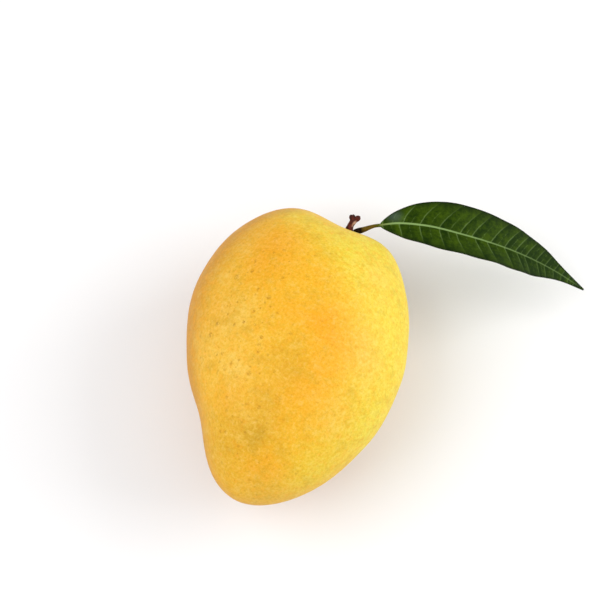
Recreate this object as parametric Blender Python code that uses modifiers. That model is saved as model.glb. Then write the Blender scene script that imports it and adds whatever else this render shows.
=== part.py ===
"""A ripe yellow mango, as picked: the fruit lying on one cheek, its forked stem stub and one leaf.

The model is in metres with +Z up. Its origin is the middle of the resting spot, +Y runs along the
fruit towards the stem, and the leaf reaches out along +X.
"""

import math

import bmesh
import bpy
import numpy as np
from mathutils import Matrix, Vector

# The fruit. Its outline lies level, and its two cheeks swell above and below it.
FRUIT_LENGTH = 0.1228
FRUIT_THICKNESS = 0.0760
FRUIT_SEGMENTS = 64
FRUIT_RINGS = 44
# How far the rings are drawn together at the stem and at the tip, where the fruit curves most.
RING_CROWDING = 0.4
# Radius of the outline every 15 degrees from +X, through the stem at +Y, as shares of FRUIT_LENGTH.
OUTLINE = (
    0.367, 0.369, 0.379, 0.405, 0.441, 0.461,
    0.448, 0.476, 0.489, 0.463, 0.432, 0.404,
    0.380, 0.362, 0.358, 0.366, 0.390, 0.466,
    0.537, 0.524, 0.475, 0.428, 0.397, 0.377,
)
# Towards its summit a cheek becomes a plain ellipse, with these half axes across and along.
CHEEK_HALF_WIDTH = 0.366 * FRUIT_LENGTH
CHEEK_HALF_LENGTH = 0.472 * FRUIT_LENGTH
RESTING_SPOT_DEPTH = 0.0007
OUTLINE_HEIGHT = FRUIT_THICKNESS / 2 - RESTING_SPOT_DEPTH

# The pit round the stem, and the plain hole in it that holds the stem's root.
PIT_ANGLE = math.radians(88.0)
PIT_DEPTH = 0.0025
PIT_WIDTH = 0.0080
HOLE_DEPTH = 0.0030
GAP = 0.0003

# The stem stub: points along it from the pit's floor, as across, outwards and up, with the radius there.
STEM_ROOT_RADIUS = 0.0019
STEM_STUB = (
    (0.0000, -0.0027, 0.0000, 0.0019),
    (0.0000, 0.0004, 0.0000, 0.0018),
    (0.0000, 0.0012, 0.0002, 0.0025),
    (-0.0003, 0.0021, 0.0007, 0.0025),
    (-0.0012, 0.0034, 0.0018, 0.0018),
    (-0.0014, 0.0052, 0.0028, 0.0014),
    (-0.0009, 0.0070, 0.0034, 0.0014),
    (-0.0005, 0.0078, 0.0036, 0.0009),
)
STEM_LEFT_FORK = (
    (-0.0009, 0.0060, 0.0031, 0.0010),
    (-0.0013, 0.0074, 0.0036, 0.0012),
    (-0.0016, 0.0086, 0.0039, 0.0013),
    (-0.0017, 0.0093, 0.0040, 0.0008),
)
STEM_RIGHT_FORK = (
    (-0.0008, 0.0060, 0.0031, 0.0010),
    (-0.0001, 0.0076, 0.0036, 0.0011),
    (0.0005, 0.0088, 0.0040, 0.0012),
    (0.0008, 0.0095, 0.0042, 0.0008),
)
STEM_RINGS_PER_POINT = 3
STEM_SIDES_RESOLUTION = 3

# The leaf. Its stalk starts beside the stem's foot, and its midrib arches up and then droops.
LEAF_STALK = (
    (0.0039, 0.0562, 0.0397, 0.00080),
    (0.0047, 0.0567, 0.0400, 0.00120),
    (0.0065, 0.0580, 0.0405, 0.00112),
    (0.0092, 0.0601, 0.0414, 0.00080),
)
LEAF_MIDRIB = (
    (0.0120, 0.0617, 0.0419, 0.00070),
    (0.0199, 0.0655, 0.0427, 0.00080),
    (0.0317, 0.0690, 0.0425, 0.00080),
    (0.0439, 0.0716, 0.0402, 0.00075),
    (0.0556, 0.0743, 0.0363, 0.00070),
    (0.0660, 0.0765, 0.0318, 0.00062),
    (0.0763, 0.0783, 0.0262, 0.00055),
    (0.0871, 0.0796, 0.0195, 0.00047),
    (0.0996, 0.0803, 0.0109, 0.00040),
)
LEAF_HALF_WIDTH = 0.0128
# The width of the blade's two halves at every tenth of its length, from base to tip, as shares of
# LEAF_HALF_WIDTH. The left half is the one at +Y.
LEAF_LEFT_OUTLINE = (0.05, 0.43, 0.77, 0.96, 1.02, 0.97, 0.88, 0.73, 0.53, 0.25, 0.03)
LEAF_RIGHT_OUTLINE = (0.05, 0.45, 0.76, 0.97, 1.04, 1.05, 0.99, 0.83, 0.52, 0.21, 0.03)
LEAF_BLADE_THICKNESS = 0.0008
LEAF_STEPS_ALONG = 44
LEAF_STEPS_ACROSS = 10
# Each half of the blade rises from the midrib by the fold, and the twist leans the whole blade over.
LEAF_FOLD_AT_ENDS = math.radians(6.0)
LEAF_FOLD_AT_MIDDLE = math.radians(25.0)
LEAF_TWIST_AT_MIDDLE = math.radians(12.0)
LEAF_EDGE_CURL = 0.0016
LEAF_WAVE_HEIGHT = 0.0004
LEAF_WAVE_COUNT = 6.5
MIDRIB_BELOW_BLADE = 0.0003
MIDRIB_STEPS = 40
STALK_STEPS = 12

SMOOTH_ANGLE = math.radians(40.0)

SKIN = {"name": "ripe_skin", "colour": (0.93, 0.47, 0.05), "roughness": 0.45}
BARK = {"name": "dry_stem", "colour": (0.13, 0.035, 0.015), "roughness": 0.85}
LEAF_GREEN = {"name": "leaf_green", "colour": (0.030, 0.085, 0.015), "roughness": 0.40}


def clear_scene():
    for obj in list(bpy.data.objects):
        bpy.data.objects.remove(obj)


def new_collection(name):
    collection = bpy.data.collections.new(name)
    bpy.context.scene.collection.children.link(collection)
    return collection


def new_material(finish):
    material = bpy.data.materials.new(finish["name"])
    material.use_nodes = True
    shader = material.node_tree.nodes["Principled BSDF"]
    shader.inputs["Base Color"].default_value = (*finish["colour"], 1.0)
    shader.inputs["Roughness"].default_value = finish["roughness"]
    shader.inputs["Metallic"].default_value = 0.0
    return material


def object_from_bmesh(name, bm, collection):
    """Puts the bmesh into a new object, with its faces turned outwards, and frees it."""
    bmesh.ops.recalc_face_normals(bm, faces=bm.faces)
    mesh = bpy.data.meshes.new(name)
    bm.to_mesh(mesh)
    bm.free()
    obj = bpy.data.objects.new(name, mesh)
    collection.objects.link(obj)
    return obj


def make_cutter(obj):
    obj.hide_render = True
    obj.display_type = "WIRE"


def add_boolean(obj, other, operation):
    modifier = obj.modifiers.new(operation.lower(), "BOOLEAN")
    modifier.operation = operation
    modifier.solver = "EXACT"
    modifier.object = other


def apply_modifiers(obj):
    """Replaces the object's mesh by the mesh that its modifiers make."""
    graph = bpy.context.evaluated_depsgraph_get()
    mesh = bpy.data.meshes.new_from_object(obj.evaluated_get(graph))
    obj.modifiers.clear()
    obj.data = mesh


def fuse(obj, others):
    """Joins the other solids to the object as one body, and removes them."""
    for other in others:
        add_boolean(obj, other, "UNION")
    apply_modifiers(obj)
    for other in others:
        bpy.data.objects.remove(other)


def finish_surface(obj, finish):
    obj.data.materials.clear()
    obj.data.materials.append(new_material(finish))
    obj.data.shade_smooth()
    obj.data.set_sharp_from_angle(angle=SMOOTH_ANGLE)


def curve_through(points, count):
    """Rows of numbers, evenly spaced along the smooth curve that passes through the given rows.

    Each stretch is a cubic whose slope at a point is half the step from the point before it to the
    one after it.
    """
    rows = np.array(points)
    ends = np.vstack([2 * rows[0] - rows[1], rows, 2 * rows[-1] - rows[-2]])
    place = np.linspace(0.0, len(rows) - 1.0, count)
    index = np.minimum(place.astype(int), len(rows) - 2)
    t = (place - index)[:, None]
    before, start, end, after = (ends[index + shift] for shift in range(4))
    start_slope = (end - before) / 2
    end_slope = (after - start) / 2
    return (
        (2 * t**3 - 3 * t**2 + 1) * start
        + (t**3 - 2 * t**2 + t) * start_slope
        + (3 * t**2 - 2 * t**3) * end
        + (t**3 - t**2) * end_slope
    )


def tube(name, rows, collection):
    """A closed tube along rows of x, y, z and radius, as a mesh object."""
    curve = bpy.data.curves.new(name, "CURVE")
    curve.dimensions = "3D"
    curve.bevel_depth = 1.0
    curve.bevel_resolution = STEM_SIDES_RESOLUTION
    curve.use_fill_caps = True
    spline = curve.splines.new("POLY")
    spline.points.add(len(rows) - 1)
    for point, row in zip(spline.points, rows):
        point.co = (*row[:3], 1.0)
        point.radius = row[3]
    guide = bpy.data.objects.new(name + "_guide", curve)
    collection.objects.link(guide)
    bpy.context.view_layer.update()
    graph = bpy.context.evaluated_depsgraph_get()
    mesh = bpy.data.meshes.new_from_object(guide.evaluated_get(graph))
    bpy.data.objects.remove(guide)
    bm = bmesh.new()
    bm.from_mesh(mesh)
    bpy.data.meshes.remove(mesh)
    bmesh.ops.remove_doubles(bm, verts=bm.verts, dist=0.00001)
    return object_from_bmesh(name, bm, collection)


def outline_radius(angle):
    """The outline's radius at an angle: the sum of waves that passes through every OUTLINE point."""
    waves = np.fft.rfft(OUTLINE) / len(OUTLINE)
    order = np.arange(len(waves))
    weight = np.where((order == 0) | (order == len(OUTLINE) // 2), 1, 2)
    return FRUIT_LENGTH * float((weight * waves * np.exp(1j * order * angle)).real.sum())


def cheek_radius(angle):
    """The radius, at an angle, of the ellipse that a cheek becomes near its summit."""
    across = CHEEK_HALF_LENGTH * math.cos(angle)
    along = CHEEK_HALF_WIDTH * math.sin(angle)
    return CHEEK_HALF_WIDTH * CHEEK_HALF_LENGTH / math.hypot(across, along)


def pit_direction():
    return Vector((math.cos(PIT_ANGLE), math.sin(PIT_ANGLE), 0.0))


def pit_rim():
    """Where the outline would pass the stem if there were no pit."""
    return pit_direction() * outline_radius(PIT_ANGLE)


def pit_floor():
    """The deepest point of the pit, at the height that the outline has on the resting fruit."""
    return pit_rim() - pit_direction() * PIT_DEPTH + Vector((0.0, 0.0, OUTLINE_HEIGHT))


def skin_point(direction):
    """The fruit's surface in a direction from its middle, with the outline at height zero."""
    angle = math.atan2(direction.y, direction.x)
    rise = max(-1.0, min(1.0, direction.z))
    level = math.sqrt(1.0 - rise**2)
    radius = level * (outline_radius(angle) * level**2 + cheek_radius(angle) * rise**2)
    point = Vector((radius * math.cos(angle), radius * math.sin(angle), rise * FRUIT_THICKNESS / 2))
    depth = PIT_DEPTH * math.exp(-(point - pit_rim()).length_squared / PIT_WIDTH**2)
    return point - pit_direction() * depth


def crowded(direction):
    """A direction on the sphere with its ring moved nearer to the poles of its own Z axis."""
    polar = math.acos(max(-1.0, min(1.0, direction.z)))
    polar -= RING_CROWDING * math.sin(2 * polar) / 2
    turn = math.atan2(direction.y, direction.x)
    level = math.sin(polar)
    return Vector((level * math.cos(turn), level * math.sin(turn), math.cos(polar)))


def build_fruit(collection, cutters):
    bm = bmesh.new()
    bmesh.ops.create_uvsphere(bm, u_segments=FRUIT_SEGMENTS, v_segments=FRUIT_RINGS, radius=1.0)
    pole_to_stem = pit_direction().to_track_quat("Z", "Y")
    for vertex in bm.verts:
        direction = pole_to_stem @ crowded(vertex.co)
        vertex.co = skin_point(direction) + Vector((0.0, 0.0, OUTLINE_HEIGHT))
    cut = bmesh.ops.bisect_plane(
        bm,
        geom=bm.verts[:] + bm.edges[:] + bm.faces[:],
        plane_co=(0.0, 0.0, 0.0),
        plane_no=(0.0, 0.0, 1.0),
        clear_inner=True,
    )
    rim = [item for item in cut["geom_cut"] if isinstance(item, bmesh.types.BMEdge)]
    bmesh.ops.edgeloop_fill(bm, edges=rim)
    fruit = object_from_bmesh("fruit", bm, collection)
    add_boolean(fruit, build_hole_cutter(cutters), "DIFFERENCE")
    finish_surface(fruit, SKIN)
    return fruit


def build_hole_cutter(cutters):
    """A plain rod that cuts the hole for the stem's root, standing out of the pit."""
    bm = bmesh.new()
    radius = STEM_ROOT_RADIUS + GAP
    length = 2 * HOLE_DEPTH
    bmesh.ops.create_cone(
        bm, cap_ends=True, segments=24, radius1=radius, radius2=radius, depth=length
    )
    bmesh.ops.transform(bm, matrix=pit_frame(), verts=bm.verts)
    cutter = object_from_bmesh("stem_hole_cutter", bm, cutters)
    make_cutter(cutter)
    return cutter


def pit_frame():
    """A frame at the pit's floor whose own Z points out of the pit."""
    turn = pit_direction().to_track_quat("Z", "Y").to_matrix().to_4x4()
    return Matrix.Translation(pit_floor()) @ turn


def stem_rows(points):
    """Points given as across, outwards and up from the pit's floor, as a smooth run in space."""
    outwards = pit_direction()
    across = Vector((outwards.y, -outwards.x, 0.0))
    up = Vector((0.0, 0.0, 1.0))
    placed = []
    for right, out, rise, radius in points:
        place = pit_floor() + across * right + outwards * out + up * rise
        placed.append((*place, radius))
    return curve_through(placed, STEM_RINGS_PER_POINT * (len(placed) - 1) + 1)


def build_stem(collection):
    stem = tube("stem", stem_rows(STEM_STUB), collection)
    left = tube("stem_left_fork", stem_rows(STEM_LEFT_FORK), collection)
    right = tube("stem_right_fork", stem_rows(STEM_RIGHT_FORK), collection)
    fuse(stem, [left, right])
    finish_surface(stem, BARK)
    return stem


def half_widths(outline):
    """The width of one half of the blade at every step from its base to its tip."""
    shares = curve_through([(share,) for share in outline], LEAF_STEPS_ALONG + 1)
    return LEAF_HALF_WIDTH * shares[:, 0]


def blade_point(midrib, widths, step, side):
    """A point of the blade at a step along its midrib, and across it from -1 to 1.

    The half width is laid off square to the midrib. It rises by the fold, more on the near side
    by the twist, falls away again at the edge by the curl, and the edge waves.
    """
    along = step / LEAF_STEPS_ALONG
    centre = Vector(midrib[step][:3])
    behind = Vector(midrib[max(step - 1, 0)][:3])
    ahead = (Vector(midrib[min(step + 1, LEAF_STEPS_ALONG)][:3]) - behind).normalized()
    across = Vector((0.0, 0.0, 1.0)).cross(ahead).normalized()
    up = ahead.cross(across)
    bend = math.sin(math.pi * along)
    fold = LEAF_FOLD_AT_ENDS + (LEAF_FOLD_AT_MIDDLE - LEAF_FOLD_AT_ENDS) * bend
    rise = fold - math.copysign(LEAF_TWIST_AT_MIDDLE * bend, side)
    width = widths["right" if side < 0 else "left"][step] * abs(side)
    wave = math.sin(2 * math.pi * LEAF_WAVE_COUNT * along + 0.8 * math.copysign(1.0, side))
    lift = width * math.sin(rise) - LEAF_EDGE_CURL * bend * abs(side) ** 2
    lift += LEAF_WAVE_HEIGHT * wave * bend * abs(side) ** 3
    return centre + across * math.copysign(width * math.cos(rise), side) + up * lift


def build_leaf(collection):
    midrib = curve_through(LEAF_MIDRIB, LEAF_STEPS_ALONG + 1)
    widths = {"left": half_widths(LEAF_LEFT_OUTLINE), "right": half_widths(LEAF_RIGHT_OUTLINE)}
    bm = bmesh.new()
    bmesh.ops.create_grid(
        bm, x_segments=LEAF_STEPS_ALONG, y_segments=LEAF_STEPS_ACROSS, size=1.0
    )
    for vertex in bm.verts:
        step = round((vertex.co.x + 1.0) / 2 * LEAF_STEPS_ALONG)
        vertex.co = blade_point(midrib, widths, step, vertex.co.y)
    bmesh.ops.triangulate(bm, faces=bm.faces)
    leaf = object_from_bmesh("leaf", bm, collection)
    wall = leaf.modifiers.new("blade", "SOLIDIFY")
    wall.thickness = LEAF_BLADE_THICKNESS
    wall.offset = 0.0
    stalk_rows = curve_through(LEAF_STALK + LEAF_MIDRIB[:1], STALK_STEPS)
    rib_rows = curve_through(LEAF_MIDRIB, MIDRIB_STEPS)[:-2]
    rib_rows[:, 2] -= MIDRIB_BELOW_BLADE
    rib = tube("leaf_rib", np.vstack([stalk_rows[:-1], rib_rows]), collection)
    fuse(leaf, [rib])
    finish_surface(leaf, LEAF_GREEN)
    return leaf


def main():
    clear_scene()
    mango = new_collection("mango")
    cutters = new_collection("mango_cutters")
    build_fruit(mango, cutters)
    build_stem(mango)
    build_leaf(mango)


main()
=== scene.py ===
"""The looks of a ripe yellow mango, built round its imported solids.

The fruit, the stem stub and the leaf are surfaces worked out from a few sizes, in metres, in the
frame of the solids: +Y runs along the fruit to the stem, +Z is up and the leaf reaches out to +X.
"""

import math

import bpy
import numpy as np
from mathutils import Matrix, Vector


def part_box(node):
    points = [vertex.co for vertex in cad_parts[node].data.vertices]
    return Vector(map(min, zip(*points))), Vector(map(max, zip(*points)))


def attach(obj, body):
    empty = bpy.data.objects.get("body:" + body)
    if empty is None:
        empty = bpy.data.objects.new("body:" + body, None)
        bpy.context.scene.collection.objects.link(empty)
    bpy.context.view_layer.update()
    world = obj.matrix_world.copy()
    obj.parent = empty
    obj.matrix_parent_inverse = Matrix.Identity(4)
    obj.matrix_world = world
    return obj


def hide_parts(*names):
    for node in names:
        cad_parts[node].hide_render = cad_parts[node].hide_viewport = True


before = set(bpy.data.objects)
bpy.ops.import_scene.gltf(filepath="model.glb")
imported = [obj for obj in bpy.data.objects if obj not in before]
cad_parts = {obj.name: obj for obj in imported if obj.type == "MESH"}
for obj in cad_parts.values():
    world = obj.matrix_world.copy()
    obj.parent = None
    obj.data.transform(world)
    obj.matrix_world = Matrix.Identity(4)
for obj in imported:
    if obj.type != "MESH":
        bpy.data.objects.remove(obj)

bl_info = {
    "name": "Ripe mango",
    "version": (1, 0, 0),
    "blender": (4, 5, 0),
    "location": "3D View > Sidebar > Mango",
    "description": "Builds a ripe mango with its stem stub and its leaf on a pale studio floor",
    "category": "Object",
}

BODY = "root"
MM = 0.001

# The fruit, as the solids have it: its outline, level and seen from above, and its two cheeks.
FRUIT_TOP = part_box("fruit")[1].z
FRUIT_LENGTH = 0.1228
FRUIT_THICKNESS = 0.0760
OUTLINE = (
    0.367, 0.369, 0.379, 0.405, 0.441, 0.461,
    0.448, 0.476, 0.489, 0.463, 0.432, 0.404,
    0.380, 0.362, 0.358, 0.366, 0.390, 0.466,
    0.537, 0.524, 0.475, 0.428, 0.397, 0.377,
)
CHEEK_HALF_WIDTH_SHARE = 0.366
CHEEK_HALF_LENGTH_SHARE = 0.472
PIT_ANGLE = math.radians(88.0)
PIT_DEPTH = 2.5 * MM
PIT_WIDTH = 8.0 * MM
RING_CROWDING = 0.4
FRUIT_SEGMENTS = 320
FRUIT_RINGS = 260
# Soft swells of the skin: how far apart, how high, and the seed of their directions.
SKIN_SWELLS = (
    (34.0 * MM, 0.160 * MM, 3),
    (11.0 * MM, 0.035 * MM, 4),
    (4.5 * MM, 0.012 * MM, 5),
)
# The swells stand on a skin that is this much inside the solid's, so that they stay in its box.
SKIN_INSET = 0.1 * MM
# Puckers round the pit: how far they reach, how high they are, how wide as an angle, and their seed.
PUCKERS = (5.5 * MM, 0.25 * MM, 0.10, 6)

# The yellow side, partly the skin's own colour and partly painted light from the key's side: its
# direction over x and y, where it starts in mm, how soft its limit is, and how much that limit
# wanders, over which distance and with which seed.
YELLOW_LIT_SIDE = (0.92, 0.36)
YELLOW_LIT_START = 24.0
YELLOW_LIT_SOFTNESS = 6.0
YELLOW_LIT_WANDER = (5.0, 30.0 * MM, 11)
# The flank is painted shade, browner low down on the sides and most on the left:
# its upper limit in mm over the middle, how much it drops for each mm across, its softness.
FLANK_SHADE = (37.0, 0.55, 3.6)

# Linear colours that only tint others: flecks of the skin, grain, and for the leaf the painted shade
# at its curled margin, which also darkens its tip, and the painted sheen near its base.
PALE_FLECK = (1.0, 1.0, 0.9)
YELLOW_FLECK = (1.0, 0.90, 0.45)
BROWN_FLECK = (0.40, 0.14, 0.0)
BLACK = (0.0, 0.0, 0.0)
BARK_SHADE = (0.012, 0.002, 0.001)
STALK_SHADE = (0.006, 0.002, 0.001)
LEAF_SHADE = (0.004, 0.009, 0.002)
LEAF_PAINTED_SHEEN = (0.085, 0.120, 0.105)
# Patches that a finish has in one place, in mm: centre and radii. The leaf's is a painted sheen,
# where its upper face would mirror the sky.
PIT_PATCH = ((2.0, 52.5, 37.3), (5.0, 3.5, 5.0))
FORK_PATCH = ((0.2, 61.3, 41.4), (1.8, 2.2, 2.4))
STEM_FOOT_PATCH = ((0.6, 55.3, 39.0), (3.5, 1.6, 3.0))
SCAR_PATCH = ((2.1, 58.0, 41.4), (1.2, 2.6, 1.6))
PAINTED_SHEEN_PATCH = ((16.0, 67.5, 43.5), (5.5, 4.5, 6.0))

# Soft marks on the skin, in mm: centre x, y and z, radius and strength.
BLUSH_MARKS = (
    (-20, 30, 66, 13, 0.75), (-19, 16, 70, 11, 0.55), (-3, 3, 75, 7, 0.45), (10, 4, 74, 8, 0.95),
    (19, -4, 71, 11, 0.65), (17, -18, 71, 10, 0.45), (10, -28, 70, 12, 0.45), (-14, -36, 63, 6, 0.50),
    (10, -54, 56, 9, 0.70), (-30, -6, 62, 9, 0.45), (4, 22, 71, 9, 0.35),
    (-12, 12, 2, 20, 0.60), (20, -24, 3, 16, 0.60), (30, 6, 14, 18, 0.45), (-34, 24, 26, 16, 0.40),
)
# Olive marks: the skin's own greener patches; the row that runs from the cheek's summit down towards the
# tip is partly painted shade of a shallow valley there, which the surface doesn't have.
OLIVE_AND_SHADE_MARKS = (
    (6, -19, 73, 8, 0.85), (3, -33, 69, 6, 0.75), (6, -42, 65, 6, 0.70), (2, -46, 62, 5, 0.75),
    (-5, -45, 60, 11, 0.65), (-9, -57, 50, 9, 0.60), (2, -8, 75, 8, 0.30), (-24, -6, 68, 6, 0.30),
    (-38, -14, 36, 12, 0.50), (0, -30, 2, 18, 0.55), (-10, 40, 10, 14, 0.35), (8, -62, 30, 10, 0.40),
    (-18, -50, 50, 9, 0.45),
)
CREAM_MARKS = (
    (-23, -6, 69, 9, 0.75), (-14, -26, 68, 6, 0.75), (-27, -22, 60, 9, 0.50), (30, -2, 63, 9, 0.60),
    (-30, 8, 62, 8, 0.40), (26, -26, 60, 9, 0.50), (20, 34, 62, 9, 0.45), (-6, 28, 4, 14, 0.50),
    (-32, -12, 60, 10, 0.35), (12, -60, 48, 8, 0.40), (-28, 26, 60, 8, 0.30),
)
# Soft yellow patches, added to the yellow side.
YELLOW_MARKS = (
    (-4, 42, 62, 13, 0.60), (14, 40, 58, 14, 0.45), (26, -46, 48, 13, 0.60), (13, 28, 69, 8, 0.40),
    (-18, 47, 57, 9, 0.60), (36, -24, 50, 12, 0.30),
)
SPECK_MARKS = (
    (-16, 2, 70, 20, 1.00), (-20, -18, 66, 14, 0.90), (-6, -44, 60, 18, 0.90), (-14, 26, 68, 14, 0.55),
    (14, -58, 48, 12, 0.60), (0, 0, 0, 40, 0.60), (-40, 0, 36, 20, 0.60),
)

# The stem stub: points from the pit's floor, as across, outwards and up, with the radius there, in mm.
STEM_STUB = (
    (0.0, -1.2, 0.0, 2.0),
    (0.0, 0.3, 0.0, 2.5),
    (-0.2, 1.3, 0.3, 2.6),
    (-0.6, 2.2, 0.9, 2.3),
    (-1.2, 3.4, 1.8, 1.75),
    (-1.4, 5.2, 2.8, 1.35),
    (-0.9, 7.0, 3.4, 1.35),
    (-0.6, 7.8, 3.6, 0.9),
)
STEM_LEFT_FORK = (
    (-1.0, 6.0, 3.1, 1.0),
    (-1.6, 7.4, 3.6, 1.10),
    (-2.0, 8.5, 3.9, 1.30),
    (-2.1, 9.2, 4.0, 0.9),
)
STEM_RIGHT_FORK = (
    (-0.9, 6.0, 3.1, 1.0),
    (-0.3, 7.7, 3.7, 1.00),
    (0.3, 8.9, 4.2, 1.15),
    (0.6, 9.6, 4.4, 0.8),
)
STEM_SIDES = 28
STEM_STEPS = 12
STEM_VOXEL = 0.13 * MM
STEM_SMOOTHINGS = 6
# Ridges and dents of the bark: how far apart, how high, and the seed of their directions.
BARK_RIDGES = (0.9 * MM, 0.09 * MM, 21)
BARK_DENTS = (1.5 * MM, 0.07 * MM, 22)
# How much longer than wide the ridges are, as the share that lengths along the stem count for.
BARK_STRETCH = 0.22

# The leaf: points of its stalk and then of its midrib, in mm, with half the thickness there.
LEAF_STALK = (
    (3.0, 55.9, 39.4, 0.95),
    (4.7, 56.8, 40.0, 1.25),
    (6.5, 58.0, 40.5, 1.12),
    (9.2, 60.1, 41.4, 0.80),
)
LEAF_MIDRIB = (
    (12.0, 61.7, 41.9, 0.70),
    (19.9, 65.5, 42.7, 0.80),
    (31.7, 69.0, 42.5, 0.80),
    (43.9, 71.6, 40.2, 0.75),
    (55.6, 74.3, 36.3, 0.70),
    (66.0, 76.5, 31.8, 0.62),
    (76.3, 78.3, 26.2, 0.55),
    (87.1, 79.6, 19.5, 0.47),
    (99.6, 80.3, 10.9, 0.40),
)
LEAF_HALF_WIDTH = 12.8 * MM
LEAF_LEFT_OUTLINE = (0.05, 0.43, 0.77, 0.96, 1.02, 0.97, 0.88, 0.73, 0.53, 0.25, 0.03)
LEAF_RIGHT_OUTLINE = (0.05, 0.45, 0.76, 0.97, 1.04, 1.05, 0.99, 0.83, 0.52, 0.21, 0.03)
LEAF_ROWS = 520
LEAF_COLUMNS = 90
LEAF_CURVE_STEPS = 4000
OUTLINE_CURVE_STEPS = 400
# The share of the blade's length over which the round stalk turns into the flat blade.
STALK_TO_BLADE = 0.004
LEAF_FOLD_AT_ENDS = math.radians(6.0)
LEAF_FOLD_AT_MIDDLE = math.radians(25.0)
LEAF_TWIST_AT_MIDDLE = math.radians(12.0)
LEAF_EDGE_CURL = 1.6 * MM
LEAF_WAVE_HEIGHT = 0.4 * MM
LEAF_WAVE_COUNT = 6.5
LEFT_WAVE_SHARE = 0.4
# The crease at the midrib is rounded off over this half width.
LEAF_CREASE = 0.5 * MM
BLADE_HALF_THICKNESS = 0.22 * MM
# The midrib: its half width, its ridge above and its depth below, as shares of the half thickness.
RIB_HALF_WIDTH_SHARE = 0.80
RIB_ABOVE_SHARE = 0.25
RIB_BELOW_SHARE = 1.2
# The blade swells this much between its side veins, and falls to them within this distance.
VEIN_SWELL = 0.16 * MM
VEIN_GROOVE = 1.2 * MM
VEINS_PER_SIDE = 17
# How much closer the veins stand at the tip than they would if they were spaced evenly.
VEIN_CROWDING = 0.55
VEIN_JITTER = 1.2 * MM
# For the left and the right half: seed, forward lean, and forward bend for each metre from the midrib.
LEFT_VEINS = (7, 0.32, 28.0)
RIGHT_VEINS = (12, 0.12, 14.0)

# The view: the picture is square, and the camera looks down on the fruit's broad side.
VIEW_AZIMUTH = 22.8
VIEW_ELEVATION = 70.0
VIEW_LENS = 100.0
VIEW_SENSOR = 36.0
VIEW_DISTANCE = 0.6745
VIEW_TARGET = (-5.36 * MM, 17.96 * MM, 44.08 * MM)

# The stage: the floor, and each light's name, direction, distance and size in metres, power in watts
# and tint.
FLOOR_HALF = 3.0
FLOOR_COLOUR = (0.86, 0.86, 0.87)
LIT_POINT = (0.0, 0.0, 0.03)
LIGHTS = (
    ("key", (0.80, 0.45, 0.55), 0.9, 0.7, 5.4, (1.0, 1.0, 0.98)),
    ("fill", (-0.60, -0.34, 0.80), 1.1, 1.0, 7.2, (1.0, 1.0, 1.0)),
    ("low_fill", (0.35, -0.90, 0.40), 1.1, 0.8, 0.9, (1.0, 1.0, 1.0)),
)
SKY_STRENGTH = 0.62


def colour(red, green, blue):
    """A colour picked on a screen, from 0 to 255, as the linear values that the shaders use."""
    shares = np.array((red, green, blue)) / 255.0
    linear = np.where(shares <= 0.04045, shares / 12.92, ((shares + 0.055) / 1.055) ** 2.4)
    return tuple(float(value) for value in linear)


def colour_property(name, description, default):
    return bpy.props.FloatVectorProperty(
        name=name, description=description, default=default, subtype="COLOR", min=0.0, max=1.0
    )


class MangoFruitSettings(bpy.types.PropertyGroup):
    """Sizes and colours of the fruit."""

    length: bpy.props.FloatProperty(
        name="Length",
        description="Length of the fruit from its tip to its shoulder",
        default=FRUIT_LENGTH,
        unit="LENGTH",
    )
    thickness: bpy.props.FloatProperty(
        name="Thickness",
        description="Thickness of the whole fruit through its two cheeks",
        default=FRUIT_THICKNESS,
        unit="LENGTH",
    )
    gold: colour_property("Gold", "Main colour of the ripe skin", colour(230, 177, 36))
    # Yellow: the side the key light comes from, partly the skin's own colour and partly painted light.
    yellow: colour_property("Yellow", "Colour of the sunny side", colour(226, 205, 60))
    orange: colour_property("Orange", "Colour of the ripest patches", colour(234, 160, 14))
    cream: colour_property("Cream", "Colour of the palest patches", colour(234, 194, 84))
    olive: colour_property("Olive", "Colour where green still shows", colour(190, 150, 36))
    # Flank: the browner colour painted low down on the sides as shade.
    flank_shade: colour_property("Flank", "Colour low down on the sides", colour(186, 122, 14))
    speck: colour_property("Speck", "Colour of the corky specks", colour(166, 112, 10))


class MangoLeafSettings(bpy.types.PropertyGroup):
    """Sizes and colours of the leaf."""

    half_width: bpy.props.FloatProperty(
        name="Half width",
        description="Half the blade's width at its widest",
        default=LEAF_HALF_WIDTH,
        unit="LENGTH",
    )
    green: colour_property("Green", "Colour of the blade's upper face", colour(24, 46, 0))
    # Light green also carries the painted light on one side of each swelling between the veins.
    light_green: colour_property("Light green", "Colour of its lighter areas", colour(62, 86, 4))
    vein: colour_property("Vein", "Colour of the midrib and veins", colour(136, 164, 100))
    under: colour_property("Underside", "Colour of the blade's lower face", colour(92, 118, 48))
    stalk: colour_property("Stalk", "Colour of the leaf's stalk", colour(100, 80, 24))


class MangoStemSettings(bpy.types.PropertyGroup):
    """Sizes and colours of the stem stub."""

    voxel: bpy.props.FloatProperty(
        name="Voxel",
        description="Fineness of the stem stub's surface",
        default=STEM_VOXEL,
        unit="LENGTH",
        precision=5,
    )
    bark: colour_property("Bark", "Colour of the dry bark", colour(98, 34, 18))
    scar: colour_property("Scar", "Colour of the dry groove and scars", colour(196, 156, 132))


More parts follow.
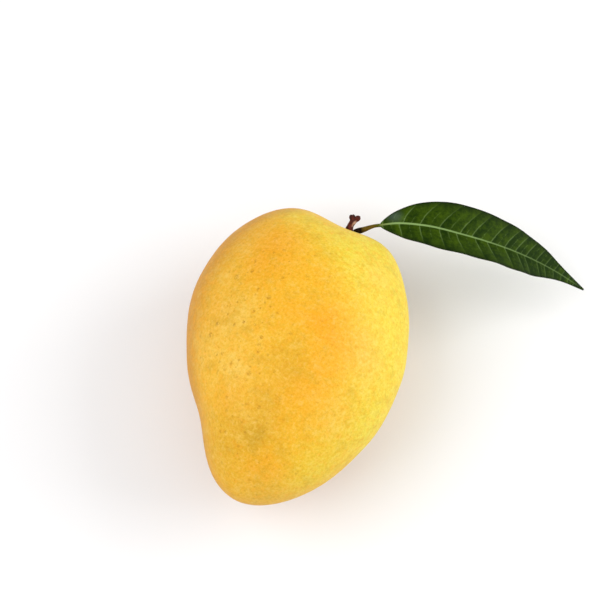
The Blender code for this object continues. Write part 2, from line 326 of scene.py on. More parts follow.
class Wire:
    """A socket of a material. An expression on wires adds the Math nodes that work it out."""

    def __init__(self, paint, socket):
        self.paint = paint
        self.socket = socket

    def maths(self, operation, *values):
        return self.paint.node("ShaderNodeMath", {"operation": operation}, values)

    def __add__(self, other):
        return self.maths("ADD", self, other)

    __radd__ = __add__

    def __sub__(self, other):
        return self.maths("SUBTRACT", self, other)

    def __rsub__(self, other):
        return self.maths("SUBTRACT", other, self)

    def __mul__(self, other):
        return self.maths("MULTIPLY", self, other)

    __rmul__ = __mul__

    def fraction(self):
        return self.maths("FRACT", self)

    def distance(self):
        """Its distance from 0."""
        return self.maths("ABSOLUTE", self)

    def step(self, low, high):
        """0 below low and 1 above high, with a smooth rise between them; low may be the larger."""
        settings = {"interpolation_type": "SMOOTHSTEP"}
        values = {"Value": self, "From Min": low, "From Max": high, "To Min": 0.0, "To Max": 1.0}
        if low > high:
            values.update({"From Min": high, "From Max": low, "To Min": 1.0, "To Max": 0.0})
        return self.paint.node("ShaderNodeMapRange", settings, values)


class Paint:
    """A new material and the nodes that are added to it."""

    def __init__(self, name):
        self.material = bpy.data.materials.new(name)
        self.material.use_nodes = True
        self.tree = self.material.node_tree
        self.shader = self.tree.nodes["Principled BSDF"]

    def connect(self, value, socket):
        if isinstance(value, Wire):
            self.tree.links.new(value.socket, socket)
        elif socket.type == "RGBA" and len(value) == 3:
            socket.default_value = (*value, 1.0)
        else:
            socket.default_value = value

    def node(self, kind, settings=None, values=(), output=0):
        """Adds a node: its settings first, then its sockets' values or links, by name or in order."""
        node = self.tree.nodes.new(kind)
        for key, value in (settings or {}).items():
            setattr(node, key, value)
        pairs = values.items() if isinstance(values, dict) else enumerate(values)
        for key, value in pairs:
            self.connect(value, node.inputs[key])
        return Wire(self, node.outputs[output])

    def set(self, **values):
        """Sets sockets of the shader, named with _ for a space."""
        for key, value in values.items():
            self.connect(value, self.shader.inputs[key.replace("_", " ")])

    def place(self):
        """The object's own coordinates, in millimetres."""
        metres = self.node("ShaderNodeTexCoord", output="Object")
        return self.node("ShaderNodeVectorMath", {"operation": "SCALE"}, {0: metres, "Scale": 1000.0})

    def attribute(self, name):
        return self.node("ShaderNodeAttribute", {"attribute_name": name}, output="Fac")

    def mix(self, low, high, factor):
        values = {0: factor, 6: low, 7: high}
        return self.node("ShaderNodeMix", {"data_type": "RGBA"}, values, output=2)

    def noise(self, place, size, detail, roughness):
        """Cloudy noise from 0 to 1 whose clouds are about this many millimetres across."""
        values = {"Vector": place, "Scale": 1.0 / size, "Detail": detail, "Roughness": roughness}
        return self.node("ShaderNodeTexNoise", {"noise_dimensions": "3D"}, values, output="Fac")

    def dots(self, place, spacing, low, high, share):
        """Round dots about a spacing apart in millimetres, full at a distance of low and gone at high.

        Only a share of the cells holds a dot, drawn by the cell's own random value.
        """
        settings = {"voronoi_dimensions": "3D", "feature": "F1"}
        values = {"Vector": place, "Scale": 1.0 / spacing, "Randomness": 1.0}
        distance = self.node("ShaderNodeTexVoronoi", settings, values, output="Distance")
        cell = Wire(self, distance.socket.node.outputs["Color"])
        draw = self.node("ShaderNodeSeparateColor", {}, {"Color": cell}, output="Red")
        size = Wire(self, draw.socket.node.outputs["Green"])
        away = distance * spacing * (1.6 - size)
        return away.step(high, low) * draw.step(share + 0.01, share - 0.01)

    def patch(self, place, centre, radii):
        """A soft patch, 1 in its middle and 0 outside the ellipsoid with this centre and radii in mm."""
        away = self.node("ShaderNodeVectorMath", {"operation": "SUBTRACT"}, (place, centre))
        shares = self.node("ShaderNodeVectorMath", {"operation": "DIVIDE"}, (away, radii))
        length = self.node(
            "ShaderNodeVectorMath", {"operation": "LENGTH"}, (shares,), output="Value"
        )
        return length.step(1.0, 0.0)

    def bump(self, height, distance, strength):
        """The surface normal after a relief whose height of 1 stands for a distance in metres."""
        values = {"Strength": strength, "Distance": distance, "Height": height}
        return self.node("ShaderNodeBump", {}, values)


def curve_through(points, count):
    """Rows of numbers, evenly spaced in the points' own order, along the smooth curve through them.

    Each stretch is a cubic whose slope at a point is half the step from the point before it to the
    one after it.
    """
    rows = np.array(points, float)
    ends = np.vstack([2 * rows[0] - rows[1], rows, 2 * rows[-1] - rows[-2]])
    place = np.linspace(0.0, len(rows) - 1.0, count)
    index = np.minimum(place.astype(int), len(rows) - 2)
    t = (place - index)[:, None]
    before, start, end, after = (ends[index + shift] for shift in range(4))
    start_slope = (end - before) / 2
    end_slope = (after - start) / 2
    return (
        (2 * t**3 - 3 * t**2 + 1) * start
        + (t**3 - 2 * t**2 + t) * start_slope
        + (3 * t**2 - 2 * t**3) * end
        + (t**3 - t**2) * end_slope
    )


def swell(points, wavelength, seed, waves=28):
    """A smooth random height, from about -1 to 1, at each point.

    It is a sum of plane waves of nearly this wavelength, in random directions with random phases.
    """
    random = np.random.default_rng(seed)
    direction = random.normal(size=(waves, 3))
    direction /= np.linalg.norm(direction, axis=1)[:, None]
    number = 2 * math.pi / (wavelength * random.uniform(0.75, 1.35, waves))
    phase = random.uniform(0, 2 * math.pi, waves)
    angle = points @ (direction * number[:, None]).T + phase
    return np.sin(angle).sum(axis=-1) / math.sqrt(waves / 2) / 2


def new_piece(name, points, faces, material, node):
    """Puts points and faces into a new object that stands for a node of the solids."""
    mesh = bpy.data.meshes.new(name)
    mesh.from_pydata(points.tolist(), [], faces)
    mesh.validate()
    mesh.materials.append(material)
    mesh.shade_smooth()
    piece = bpy.data.objects.new(name, mesh)
    bpy.context.scene.collection.objects.link(piece)
    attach(piece, BODY)
    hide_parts(node)
    return piece


def write_attribute(mesh, name, values):
    attribute = mesh.attributes.new(name, "FLOAT", "POINT")
    attribute.data.foreach_set("value", np.ascontiguousarray(values, np.float32).ravel())


def grid_faces(rows, columns):
    """Four-sided faces of a grid whose columns close round, numbered row by row."""
    row, column = np.meshgrid(np.arange(rows - 1), np.arange(columns), indexing="ij")
    beside = (column + 1) % columns
    corners = (
        row * columns + column,
        row * columns + beside,
        (row + 1) * columns + beside,
        (row + 1) * columns + column,
    )
    return np.stack(corners, -1).reshape(-1, 4).tolist()


def pole_faces(ring, pole, turned):
    """Three-sided faces that close a ring of points onto one pole."""
    beside = np.roll(ring, -1)
    pair = (beside, ring) if turned else (ring, beside)
    return np.stack([*pair, np.full(len(ring), pole)], -1).tolist()


def closed_surface(grid, start, end):
    """Points and faces of a surface whose columns close round and whose two ends close on poles."""
    rows, columns = grid.shape[:2]
    points = np.vstack([grid.reshape(-1, 3), start, end])
    faces = grid_faces(rows, columns)
    first = np.arange(columns)
    last = first + (rows - 1) * columns
    faces += pole_faces(first, rows * columns, True)
    faces += pole_faces(last, rows * columns + 1, False)
    return points, faces


def pit_direction():
    return np.array((math.cos(PIT_ANGLE), math.sin(PIT_ANGLE), 0.0))


def outline_radius(angle, length):
    """The outline's radius at angles: the sum of waves that passes through every OUTLINE point."""
    waves = np.fft.rfft(OUTLINE) / len(OUTLINE)
    order = np.arange(len(waves))
    weight = np.where((order == 0) | (order == len(OUTLINE) // 2), 1, 2)
    turned = np.exp(1j * order * np.asarray(angle)[..., None])
    return length * (weight * waves * turned).real.sum(axis=-1)


def cheek_radius(angle, length):
    """The radius of the ellipse that a cheek becomes near its summit."""
    half_width = CHEEK_HALF_WIDTH_SHARE * length
    half_length = CHEEK_HALF_LENGTH_SHARE * length
    reach = np.hypot(half_length * np.cos(angle), half_width * np.sin(angle))
    return half_width * half_length / reach


def pit_rim(length):
    return pit_direction() * outline_radius(PIT_ANGLE, length)


def skin_points(direction, length, thickness):
    """The fruit's surface in directions from its middle, with the outline at height zero.

    A level slice of the fruit is its outline at mid height and turns into a plain ellipse towards
    the cheek's summit. It shrinks with height as a circle's slices do, and a bell-shaped hollow
    round the stem is taken off.
    """
    angle = np.arctan2(direction[..., 1], direction[..., 0])
    rise = np.clip(direction[..., 2], -1.0, 1.0)
    level = np.sqrt(1.0 - rise**2)
    slices = outline_radius(angle, length) * level**2 + cheek_radius(angle, length) * rise**2
    radius = level * slices
    points = np.stack(
        [radius * np.cos(angle), radius * np.sin(angle), rise * thickness / 2], axis=-1
    )
    away = ((points - pit_rim(length)) ** 2).sum(axis=-1)
    depth = PIT_DEPTH * np.exp(-away / PIT_WIDTH**2)
    return points - depth[..., None] * pit_direction()


def fruit_directions():
    """Directions on a grid of rings about the stem's line, drawn together at both of its ends."""
    polar = np.pi * (np.arange(FRUIT_RINGS + 1)) / FRUIT_RINGS
    polar = polar - RING_CROWDING * np.sin(2 * polar) / 2
    turn = 2 * np.pi * np.arange(FRUIT_SEGMENTS) / FRUIT_SEGMENTS
    polar, turn = np.meshgrid(polar, turn, indexing="ij")
    out = pit_direction()
    across = np.array((out[1], -out[0], 0.0))
    up = np.array((0.0, 0.0, 1.0))
    ring = np.cos(turn)[..., None] * across + np.sin(turn)[..., None] * up
    return np.cos(polar)[..., None] * out + np.sin(polar)[..., None] * ring


def fruit_surface(length, thickness):
    """The fruit's grid of points: the skin with soft swells, flattened where it rests."""
    direction = fruit_directions()
    points = skin_points(direction, length, thickness)
    relief = np.zeros(points.shape[:-1])
    for spacing, height, seed in SKIN_SWELLS:
        relief += height * swell(points, spacing, seed)
    reach, height, spacing, seed = PUCKERS
    near_pit = np.exp(-((points - pit_rim(length)) ** 2).sum(axis=-1) / reach**2)
    relief += height * near_pit * swell(direction, spacing, seed)
    points = points + (relief - SKIN_INSET)[..., None] * direction
    points[..., 2] += FRUIT_TOP - thickness / 2
    points[..., 2] = np.maximum(points[..., 2], 0.0)
    return points


def gate(values):
    """Rises smoothly from 0, far below 0, through a half at 0 to 1, far above it."""
    return 1 / (1 + np.exp(-values))


def marks(points, spots):
    """The sum, at each point, of soft round spots; each falls away as a bell curve."""
    total = np.zeros(points.shape[:-1])
    for x, y, z, radius, strength in spots:
        away = ((points / MM - (x, y, z)) ** 2).sum(axis=-1)
        total += strength * np.exp(-away / radius**2)
    return total


def fruit_attributes(points):
    """How blushed, olive, cream, speckled, yellow and lit, and shaded the skin is, each from 0 to about
    1; the lit and the shaded are painted.
    """
    x, y, z = np.moveaxis(points / MM, -1, 0)
    wander, spacing, seed = YELLOW_LIT_WANDER
    yellow_and_lit = YELLOW_LIT_SIDE[0] * x + YELLOW_LIT_SIDE[1] * y + wander * swell(points, spacing, seed)
    top, drop, softness = FLANK_SHADE
    return {
        "blush": marks(points, BLUSH_MARKS),
        "olive": marks(points, OLIVE_AND_SHADE_MARKS),
        "cream": marks(points, CREAM_MARKS),
        "specks": marks(points, SPECK_MARKS),
        "yellow_and_lit": gate((yellow_and_lit - YELLOW_LIT_START) / YELLOW_LIT_SOFTNESS) + marks(points, YELLOW_MARKS),
        "flank_shade": gate((top - drop * x - z) / softness),
    }


def fruit_material(settings):
    """Ripe skin: gold, with a yellow side that is partly painted light, soft patches, fine mottling,
    pores, corky specks and painted shade low down on the sides.
    """
    paint = Paint("ripe_skin")
    place = paint.place()
    cloud = paint.noise(place, 7.0, 3.0, 0.6)
    blotch = paint.noise(place, 2.6, 3.0, 0.65)
    mottle = paint.noise(place, 1.1, 3.0, 0.7)
    grain = paint.noise(place, 0.55, 2.0, 0.6)
    patchy = cloud.step(0.25, 0.75)
    # Yellow side: partly the skin's own colour, partly painted light on the key light's side.
    skin = paint.mix(settings.gold, settings.yellow, paint.attribute("yellow_and_lit"))
    skin = paint.mix(skin, settings.cream, paint.attribute("cream") * (0.45 + 0.7 * patchy))
    skin = paint.mix(skin, settings.orange, paint.attribute("blush") * (0.45 + 0.6 * patchy))
    # Olive patches: partly the skin's own green, partly painted shade along a shallow valley down the
    # cheek.
    olive_and_shade = paint.attribute("olive") * (0.45 + 0.6 * blotch.step(0.30, 0.70))
    skin = paint.mix(skin, settings.olive, olive_and_shade * 0.62)
    # Painted shade: browner low down on the sides, most on the left.
    skin = paint.mix(skin, settings.flank_shade, paint.attribute("flank_shade") * 0.80)
    skin = paint.mix(skin, settings.orange, (blotch - 0.46) * 1.8)
    skin = paint.mix(skin, YELLOW_FLECK, (0.48 - blotch) * 0.45)
    skin = paint.mix(skin, settings.olive, (0.48 - cloud) * 1.8)
    skin = paint.mix(skin, settings.cream, (cloud - 0.52) * 1.2)
    skin = paint.mix(skin, PALE_FLECK, (mottle - 0.50) * 0.20)
    skin = paint.mix(skin, BROWN_FLECK, (0.52 - mottle) * 1.10)
    skin = paint.mix(skin, BROWN_FLECK, (0.55 - grain) * 0.25)
    pores = paint.dots(place, 1.6, 0.08, 0.42, 0.60)
    skin = paint.mix(skin, settings.speck, pores * 0.20)
    speckled = 0.10 + 0.90 * paint.attribute("specks")
    freckles = paint.dots(place, 2.4, 0.20, 0.72, 0.60) * speckled * mottle.step(0.64, 0.46)
    scabs = paint.dots(place, 5.0, 0.35, 1.00, 0.50) * speckled * grain.step(0.66, 0.46)
    skin = paint.mix(skin, settings.speck, freckles * 0.45)
    skin = paint.mix(skin, settings.speck, scabs * 0.65)
    skin = paint.mix(skin, settings.speck, paint.patch(place, *PIT_PATCH) * 0.6)
    relief = grain * 0.4 - pores * 0.6 - freckles * 0.3 + scabs * 0.3
    paint.set(
        Base_Color=skin,
        Roughness=0.46 + 0.16 * grain,
        Normal=paint.bump(relief, 0.08 * MM, 0.6),
        Subsurface_Weight=0.08,
        Subsurface_Radius=(1.0, 0.5, 0.12),
        Subsurface_Scale=2.0 * MM,
        Specular_IOR_Level=0.22,
    )
    return paint.material


def tube_points(rows, sides):
    """A closed tube along rows of x, y, z and radius: each ring lies square to the path."""
    centre = rows[:, :3]
    radius = rows[:, 3]
    ahead = np.gradient(centre, axis=0)
    ahead /= np.linalg.norm(ahead, axis=1)[:, None]
    first = np.cross(ahead, (0.0, 0.0, 1.0))
    first /= np.linalg.norm(first, axis=1)[:, None]
    second = np.cross(ahead, first)
    turn = 2 * np.pi * np.arange(sides) / sides
    ring = (
        np.cos(turn)[None, :, None] * first[:, None, :]
        + np.sin(turn)[None, :, None] * second[:, None, :]
    )
    grid = centre[:, None, :] + radius[:, None, None] * ring
    cap = 0.6 * radius[:, None] * ahead
    return grid, centre[0] - cap[0], centre[-1] + cap[-1]


def stem_rows(points, origin):
    """Points given in mm as across, outwards and up from the pit's floor, as a smooth run in space."""
    out = pit_direction()
    across = np.array((out[1], -out[0], 0.0))
    axes = np.array((across, out, (0.0, 0.0, 1.0)))
    rows = np.array(points) * MM
    placed = np.hstack([origin + rows[:, :3] @ axes, rows[:, 3:]])
    return curve_through(placed, STEM_STEPS * (len(placed) - 1) + 1)


def stem_material(settings):
    """Dry bark: dark reddish brown with lengthwise wrinkles and a paler, greyish groove."""
    paint = Paint("dry_stem")
    place = paint.place()
    blotch = paint.noise(place, 1.2, 3.0, 0.6)
    fine = paint.noise(place, 0.35, 3.0, 0.6)
    dark = blotch.step(0.38, 0.58) * 0.75 + paint.patch(place, *FORK_PATCH)
    dark = dark + paint.patch(place, *STEM_FOOT_PATCH)
    bark = paint.mix(settings.bark, BARK_SHADE, dark * 0.85)
    scar = paint.patch(place, *SCAR_PATCH) * 1.6 * blotch.step(0.66, 0.44)
    bark = paint.mix(bark, settings.scar, scar)
    paint.set(
        Base_Color=paint.mix(bark, BLACK, (0.6 - fine) * 0.3),
        Roughness=0.70 + 0.2 * fine,
        Normal=paint.bump(fine * 0.6 + blotch * 0.4, 0.12 * MM, 0.8),
        Specular_IOR_Level=0.3,
    )
    return paint.material


def leaf_path():
    """Evenly spaced rows of x, y, z and half thickness, with two measures of the blade at each row.

    The first is the share of the blade, counted in midrib points: 0 at the blade's base, 1 at its
    tip and below 0 on the stalk. The second is the distance from the blade's base in metres.
    """
    points = np.array(LEAF_STALK + LEAF_MIDRIB) * MM
    rows = curve_through(points, LEAF_CURVE_STEPS)
    share = (np.linspace(0, len(points) - 1, len(rows)) - len(LEAF_STALK)) / (len(LEAF_MIDRIB) - 1)
    steps = np.linalg.norm(np.diff(rows[:, :3], axis=0), axis=1)
    travel = np.concatenate([[0.0], np.cumsum(steps)])
    even = np.linspace(0.0, travel[-1], LEAF_ROWS)
    path = np.stack([np.interp(even, travel, rows[:, axis]) for axis in range(4)], axis=-1)
    base = np.interp(0.0, share, travel)
    return path, np.interp(even, travel, share), even - base


def vein_places(along, beside, length, seed, lean, bend):
    """The running number of the side veins at each point, and how far apart they are there.

    The number is whole on a vein. A vein leaves the midrib at an angle and bends forwards: at a
    distance from the midrib it is ahead of its start by the lean times the distance, and by the
    bend times its square.
    """
    random = np.random.default_rng(seed)
    order = np.arange(-1, VEINS_PER_SIDE + 2)
    part = order / VEINS_PER_SIDE
    start = length * part * (1.0 + VEIN_CROWDING - VEIN_CROWDING * part)
    start = start + random.uniform(-VEIN_JITTER, VEIN_JITTER, len(order))
    foot = along - lean * beside - bend * beside**2
    spacing = np.interp(foot, (start[1:] + start[:-1]) / 2, np.diff(start))
    return np.interp(foot, start, order.astype(float)), spacing


def outline_share(blade, shares):
    """The smooth outline through evenly spaced shares of the half width, at shares of the blade."""
    outline = curve_through([(share,) for share in shares], OUTLINE_CURVE_STEPS)[:, 0]
    return np.interp(blade, np.linspace(0, 1, OUTLINE_CURVE_STEPS), outline)


def blade_rise(blade, side, on_blade):
    """The angle that each half of the blade rises at: the fold, and the twist that leans it over."""
    bend = np.sin(np.pi * blade)
    fold = LEAF_FOLD_AT_ENDS + (LEAF_FOLD_AT_MIDDLE - LEAF_FOLD_AT_ENDS) * bend
    return (fold - np.sign(side) * LEAF_TWIST_AT_MIDDLE * bend) * on_blade


def blade_lift(blade, side, beside, rise):
    """How far the blade's middle layer lies above the midrib.

    It is the rise over the distance from the midrib, rounded off at the crease, less the curl,
    which grows with the square of the side, and with the wave, which grows with its cube.
    """
    bend = np.sin(np.pi * blade)
    crease = np.sqrt(beside**2 + LEAF_CREASE**2) - LEAF_CREASE
    wave = np.sin(2 * np.pi * LEAF_WAVE_COUNT * blade + 0.8 * np.sign(side))
    height = np.where(side < 0, 1.0, LEFT_WAVE_SHARE) * LEAF_WAVE_HEIGHT
    curl = LEAF_EDGE_CURL * bend * side**2
    return crease * np.sin(rise) - curl + height * wave * bend * np.abs(side) ** 3


def leaf_thickness(half, side, rib, on_blade, rib_share):
    """How far a face lies from the middle layer: round on the stalk, thin with a rib on the blade."""
    round_profile = np.sqrt(np.clip(1 - side**2, 0, 1))
    thin_profile = np.sqrt(np.clip(1 - side**16, 0, 1))
    thin = BLADE_HALF_THICKNESS * thin_profile + rib_share * half * rib
    return on_blade * thin + (1 - on_blade) * half * round_profile


def leaf_surface(settings):
    """The whole leaf as one closed profile carried along its midrib, with its attributes.

    A section's upper line runs from one edge to the other and its lower line back. On the stalk it
    is round. On the blade it is thin, rises from the midrib by the fold, falls at the edge by the
    curl and waves there; it swells a little between the side veins, and the midrib is a low ridge
    above and a stout one below.
    """
    path, share, distance = leaf_path()
    centre = path[:, None, :3]
    half = path[:, None, 3]
    share = share[:, None]
    ahead = np.gradient(path[:, :3], axis=0)
    ahead /= np.linalg.norm(ahead, axis=1)[:, None]
    across = np.cross((0.0, 0.0, 1.0), ahead)
    across /= np.linalg.norm(across, axis=1)[:, None]
    up = np.cross(ahead, across)

    side = np.linspace(-1.0, 1.0, LEAF_COLUMNS + 1)[None, :]
    blade = np.clip(share, 0.0, 1.0)
    on_blade = gate(share / STALK_TO_BLADE)
    left = outline_share(blade, LEAF_LEFT_OUTLINE)
    right = outline_share(blade, LEAF_RIGHT_OUTLINE)
    width = settings.half_width * np.where(side < 0, right, left)
    width = np.maximum(width * on_blade, half * (1 - 0.6 * blade))
    beside = width * np.abs(side)
    rise = blade_rise(blade, side, on_blade)
    lift = blade_lift(blade, side, beside, rise)

    left = vein_places(distance[:, None], beside, distance[-1], *LEFT_VEINS)
    right = vein_places(distance[:, None], beside, distance[-1], *RIGHT_VEINS)
    number = np.where(side < 0, right[0], left[0])
    spacing = np.where(side < 0, right[1], left[1])
    gap = np.abs(number - np.round(number)) * spacing
    rib = np.exp(-((beside / (half * RIB_HALF_WIDTH_SHARE)) ** 2))
    reach = np.clip(beside / MM, 0, 1) * (1 - side**6) * on_blade
    lift += VEIN_SWELL * reach * (1 - np.exp(-((gap / VEIN_GROOVE) ** 2)))

    upper = leaf_thickness(half, side, rib, on_blade, RIB_ABOVE_SHARE)
    lower = leaf_thickness(half, side, rib, on_blade, RIB_BELOW_SHARE)
    flat = centre + (np.sign(side) * beside * np.cos(rise))[..., None] * across[:, None, :]
    top = flat + (lift + upper)[..., None] * up[:, None, :]
    bottom = flat + (lift - lower)[..., None] * up[:, None, :]
    loop = np.concatenate([top, bottom[:, -2:0:-1]], axis=1)

    def looped(values):
        full = np.broadcast_to(values, top.shape[:2])
        return np.concatenate([full, full[:, -2:0:-1]], axis=1)

    attributes = {
        "vein_number": looped(number),
        "vein_spacing": looped(spacing / MM),
        "beside": looped(beside / MM),
        "rib": looped(rib),
        "edge": looped(np.abs(side) ** 7 * on_blade),
        "blade": looped(on_blade),
        "along": looped(share),
        "under": np.concatenate([np.zeros(top.shape[:2]), np.ones(bottom[:, 1:-1].shape[:2])], axis=1),
    }
    return loop, path[0, :3], path[-1, :3], attributes


def leaf_material(settings):
    """A leathery leaf: dark green and satin above, duller and paler below, with pale veins; painted
    sheen near its base, painted shade at its curled margin, and painted light and shade across the
    swellings between the veins.
    """
    paint = Paint("leaf_green")
    place = paint.place()
    cloud = paint.noise(place, 5.0, 3.0, 0.6)
    mottle = paint.noise(place, 1.4, 3.0, 0.65)
    grain = paint.noise(place, 0.5, 2.0, 0.6)
    blade = paint.attribute("blade")
    under = paint.attribute("under")
    along = paint.attribute("along")
    beside = paint.attribute("beside")
    spacing = paint.attribute("vein_spacing")
    number = paint.attribute("vein_number") + (mottle - 0.5) * 0.12
    turned = number.fraction() - 0.5
    gap = (0.5 - turned.distance()) * spacing
    between = turned.distance() * spacing
    veinlet = between.step(0.30, 0.05) * mottle.step(0.40, 0.60)
    vein = gap.step(0.40, 0.05) * (0.25 + 0.9 * cloud) * beside.step(12.0, 4.0)
    vein = vein + veinlet * beside.step(9.0, 3.0) * 0.45
    rib = paint.attribute("rib").step(0.42, 0.90)
    rib_strength = (0.25 + 0.60 * along.step(0.85, 0.10)) * along.step(1.0, 0.93)

    # The turned term is painted light and shade: each swelling between side veins is lighter on one side
    # and darker on the other. The cloud and mottle terms are the blade's own lighter patches.
    light = cloud.step(0.35, 0.70) * 0.45 + (turned + 0.40) * 0.50 + (mottle - 0.5) * 1.1
    light = light - along.step(0.35, 0.95) * 0.30
    green = paint.mix(settings.green, settings.light_green, light)
    green = paint.mix(green, BLACK, (0.58 - grain) * 0.8)
    # Painted reflection: a bluish grey sheen near the leaf's base, standing in for the sky mirrored in
    # its upper face.
    green = paint.mix(green, LEAF_PAINTED_SHEEN, paint.patch(place, *PAINTED_SHEEN_PATCH) * 0.45)
    green = paint.mix(green, settings.under, under * 0.8)
    green = paint.mix(green, settings.vein, vein * (0.34 - 0.18 * along.step(0.5, 0.95)))
    rib_colour = paint.mix(settings.vein, settings.stalk, along.step(0.10, 0.0) * 0.55)
    green = paint.mix(green, rib_colour, rib * rib_strength)
    # Painted shade: the upper face darkens at its curled margin; the tip is darkened as well.
    edge = paint.attribute("edge") * (1 - under)
    green = paint.mix(green, LEAF_SHADE, edge * 0.9 + along.step(0.93, 1.0) * 0.6)
    foot = along.step(-0.20, -0.34)
    bare = paint.mix(settings.stalk, STALK_SHADE, (foot + (mottle - 0.45) * 1.2) * 0.95)
    bare = paint.mix(bare, settings.light_green, along.step(-0.10, 0.0) * 0.6)
    paint.set(
        Base_Color=paint.mix(bare, green, blade),
        Roughness=0.42 + 0.16 * grain + 0.15 * under,
        Normal=paint.bump(vein * 0.5 + mottle * 0.6 + grain * 0.2, 0.10 * MM, 0.6),
        Specular_IOR_Level=0.05,
    )
    return paint.material


class MANGO_OT_fruit(bpy.types.Operator):
    """Build the fruit, with its skin, in place of the fruit's solid"""

    bl_idname = "mango.fruit"
    bl_label = "Fruit"

    def execute(self, context):
        settings = context.scene.mango_fruit
        grid = fruit_surface(settings.length, settings.thickness)
        points, faces = closed_surface(grid[1:-1], grid[0, 0], grid[-1, 0])
        piece = new_piece("fruit_skin", points, faces, fruit_material(settings), "fruit")
        for name, values in fruit_attributes(points).items():
            write_attribute(piece.data, name, values)
        return {"FINISHED"}


class MANGO_OT_stem(bpy.types.Operator):
    """Build the forked stem stub in place of the stem's solid"""

    bl_idname = "mango.stem"
    bl_label = "Stem stub"

    def execute(self, context):
        settings = context.scene.mango_stem
        length = context.scene.mango_fruit.length
        origin = pit_rim(length) - PIT_DEPTH * pit_direction()
        origin[2] += FRUIT_TOP - context.scene.mango_fruit.thickness / 2
        points = np.empty((0, 3))
        faces = []
        for branch in (STEM_STUB, STEM_LEFT_FORK, STEM_RIGHT_FORK):
            more, closing = closed_surface(*tube_points(stem_rows(branch, origin), STEM_SIDES))
            faces += [[corner + len(points) for corner in face] for face in closing]
            points = np.vstack([points, more])
        piece = new_piece("stem_stub", points, faces, stem_material(settings), "stem")
        fuse_tubes(piece, settings.voxel)
        wrinkle(piece.data, origin)
        return {"FINISHED"}


def fuse_tubes(piece, voxel):
    """Makes one skin of the piece's closed tubes, and smooths the joins between them."""
    remesh = piece.modifiers.new("one_skin", "REMESH")
    remesh.mode = "VOXEL"
    remesh.voxel_size = voxel
    remesh.use_smooth_shade = True
    smooth = piece.modifiers.new("soft_joins", "SMOOTH")
    smooth.factor = 0.5
    smooth.iterations = STEM_SMOOTHINGS
    graph = bpy.context.evaluated_depsgraph_get()
    mesh = bpy.data.meshes.new_from_object(piece.evaluated_get(graph))
    piece.modifiers.clear()
    piece.data = mesh


def wrinkle(mesh, origin):
    """Moves each point along its normal: lengthwise ridges, and small random dents."""
    count = len(mesh.vertices)
    points = np.empty(count * 3, np.float32)
    normals = np.empty(count * 3, np.float32)
    mesh.vertices.foreach_get("co", points)
    mesh.vertices.foreach_get("normal", normals)
    points = points.reshape(-1, 3).astype(float)
    normals = normals.reshape(-1, 3).astype(float)
    stretched = (points - origin) * np.array((1.0, BARK_STRETCH, 1.0))
    spacing, ridge, seed = BARK_RIDGES
    height = ridge * swell(stretched, spacing, seed)
    spacing, dent, seed = BARK_DENTS
    height += dent * swell(points, spacing, seed)
    points = points + height[:, None] * normals
    mesh.vertices.foreach_set("co", points.astype(np.float32).ravel())
    mesh.update()


class MANGO_OT_leaf(bpy.types.Operator):
    """Build the leaf with its stalk and veins in place of the leaf's solid"""

    bl_idname = "mango.leaf"
    bl_label = "Leaf"

    def execute(self, context):
        settings = context.scene.mango_leaf
        grid, start, end, attributes = leaf_surface(settings)
        points, faces = closed_surface(grid, start, end)
        faces = [face[::-1] for face in faces]
        piece = new_piece("leaf_blade", points, faces, leaf_material(settings), "leaf")
        for name, values in attributes.items():
            ends = [values[0].mean(), values[-1].mean()]
            write_attribute(piece.data, name, np.concatenate([values.ravel(), ends]))
        return {"FINISHED"}


class MANGO_OT_stage(bpy.types.Operator):
    """Build the pale floor, the soft studio light and the camera"""

    bl_idname = "mango.stage"
    bl_label = "Stage"

    def execute(self, context):
        build_floor()
        build_lights()
        build_camera()
        return {"FINISHED"}


def build_floor():
    half = FLOOR_HALF
    corners = [(-half, -half, 0.0), (half, -half, 0.0), (half, half, 0.0), (-half, half, 0.0)]
    mesh = bpy.data.meshes.new("floor")
    mesh.from_pydata(corners, [], [(0, 1, 2, 3)])
    paint = Paint("pale_floor")
    paint.set(Base_Color=FLOOR_COLOUR, Roughness=0.9, Specular_IOR_Level=0.1)
    mesh.materials.append(paint.material)
    floor = bpy.data.objects.new("floor", mesh)
    bpy.context.scene.collection.objects.link(floor)


def area_light(name, direction, distance, size, power, tint):
    """A square soft light at a distance in a direction from the fruit, facing it."""
    light = bpy.data.lights.new(name, "AREA")
    light.shape = "SQUARE"
    light.size = size
    light.energy = power
    light.color = tint
    lamp = bpy.data.objects.new(name, light)
    way = Vector(direction).normalized()
    lamp.location = Vector(LIT_POINT) + way * distance
    lamp.rotation_euler = (-way).to_track_quat("-Z", "Y").to_euler()
    bpy.context.scene.collection.objects.link(lamp)


def build_lights():
    for light in LIGHTS:
        area_light(*light)
    world = bpy.data.worlds.new("studio")
    world.use_nodes = True
    background = world.node_tree.nodes["Background"]
    background.inputs["Color"].default_value = (1.0, 1.0, 1.0, 1.0)
    background.inputs["Strength"].default_value = SKY_STRENGTH
    bpy.context.scene.world = world
    bpy.context.scene.view_settings.view_transform = "Standard"


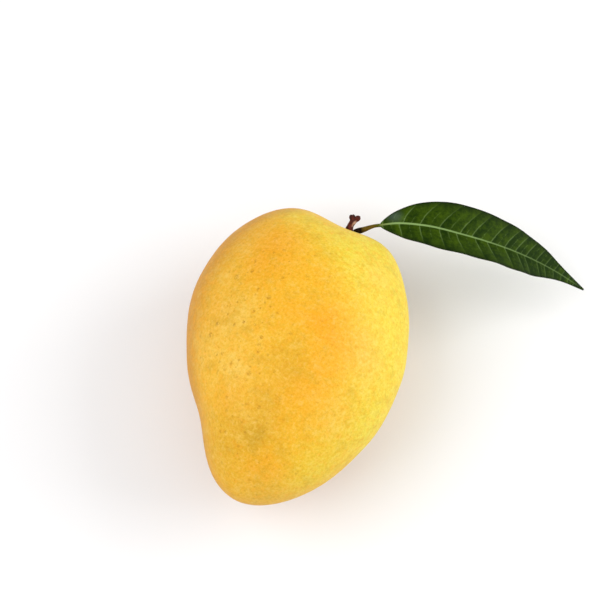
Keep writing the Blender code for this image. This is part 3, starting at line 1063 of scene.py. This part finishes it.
def build_camera():
    azimuth = math.radians(VIEW_AZIMUTH)
    elevation = math.radians(VIEW_ELEVATION)
    back = Vector((
        math.sin(azimuth) * math.cos(elevation),
        -math.cos(azimuth) * math.cos(elevation),
        math.sin(elevation),
    ))
    lens = bpy.data.cameras.new("camera")
    lens.lens = VIEW_LENS
    lens.sensor_width = VIEW_SENSOR
    lens.clip_start = 0.01
    lens.clip_end = 20.0
    camera = bpy.data.objects.new("camera", lens)
    camera.location = Vector(VIEW_TARGET) + back * VIEW_DISTANCE
    camera.rotation_euler = (-back).to_track_quat("-Z", "Y").to_euler()
    bpy.context.scene.collection.objects.link(camera)
    bpy.context.scene.camera = camera


class MANGO_PT_panel(bpy.types.Panel):
    """Lists the mango's pieces and their sizes and colours"""

    bl_idname = "MANGO_PT_panel"
    bl_label = "Mango"
    bl_space_type = "VIEW_3D"
    bl_region_type = "UI"
    bl_category = "Mango"

    def draw(self, context):
        for operator, group in PIECES:
            box = self.layout.box()
            box.operator(operator)
            if group:
                settings = getattr(context.scene, group)
                for name in settings.bl_rna.properties.keys():
                    if name not in ("rna_type", "name"):
                        box.prop(settings, name)


PIECES = (
    ("mango.fruit", "mango_fruit"),
    ("mango.stem", "mango_stem"),
    ("mango.leaf", "mango_leaf"),
    ("mango.stage", None),
)
GROUPS = {
    "mango_fruit": MangoFruitSettings,
    "mango_stem": MangoStemSettings,
    "mango_leaf": MangoLeafSettings,
}
CLASSES = (
    MANGO_OT_fruit,
    MANGO_OT_stem,
    MANGO_OT_leaf,
    MANGO_OT_stage,
    MANGO_PT_panel,
)


def register():
    for name, group in GROUPS.items():
        bpy.utils.register_class(group)
        setattr(bpy.types.Scene, name, bpy.props.PointerProperty(type=group))
    for item in CLASSES:
        bpy.utils.register_class(item)


def unregister():
    for item in reversed(CLASSES):
        bpy.utils.unregister_class(item)
    for name, group in reversed(GROUPS.items()):
        delattr(bpy.types.Scene, name)
        bpy.utils.unregister_class(group)


def main():
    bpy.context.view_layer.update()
    register()
    bpy.ops.mango.fruit()
    bpy.ops.mango.stem()
    bpy.ops.mango.leaf()
    bpy.ops.mango.stage()
    bpy.context.view_layer.update()


if __name__ == "__main__":
    main()
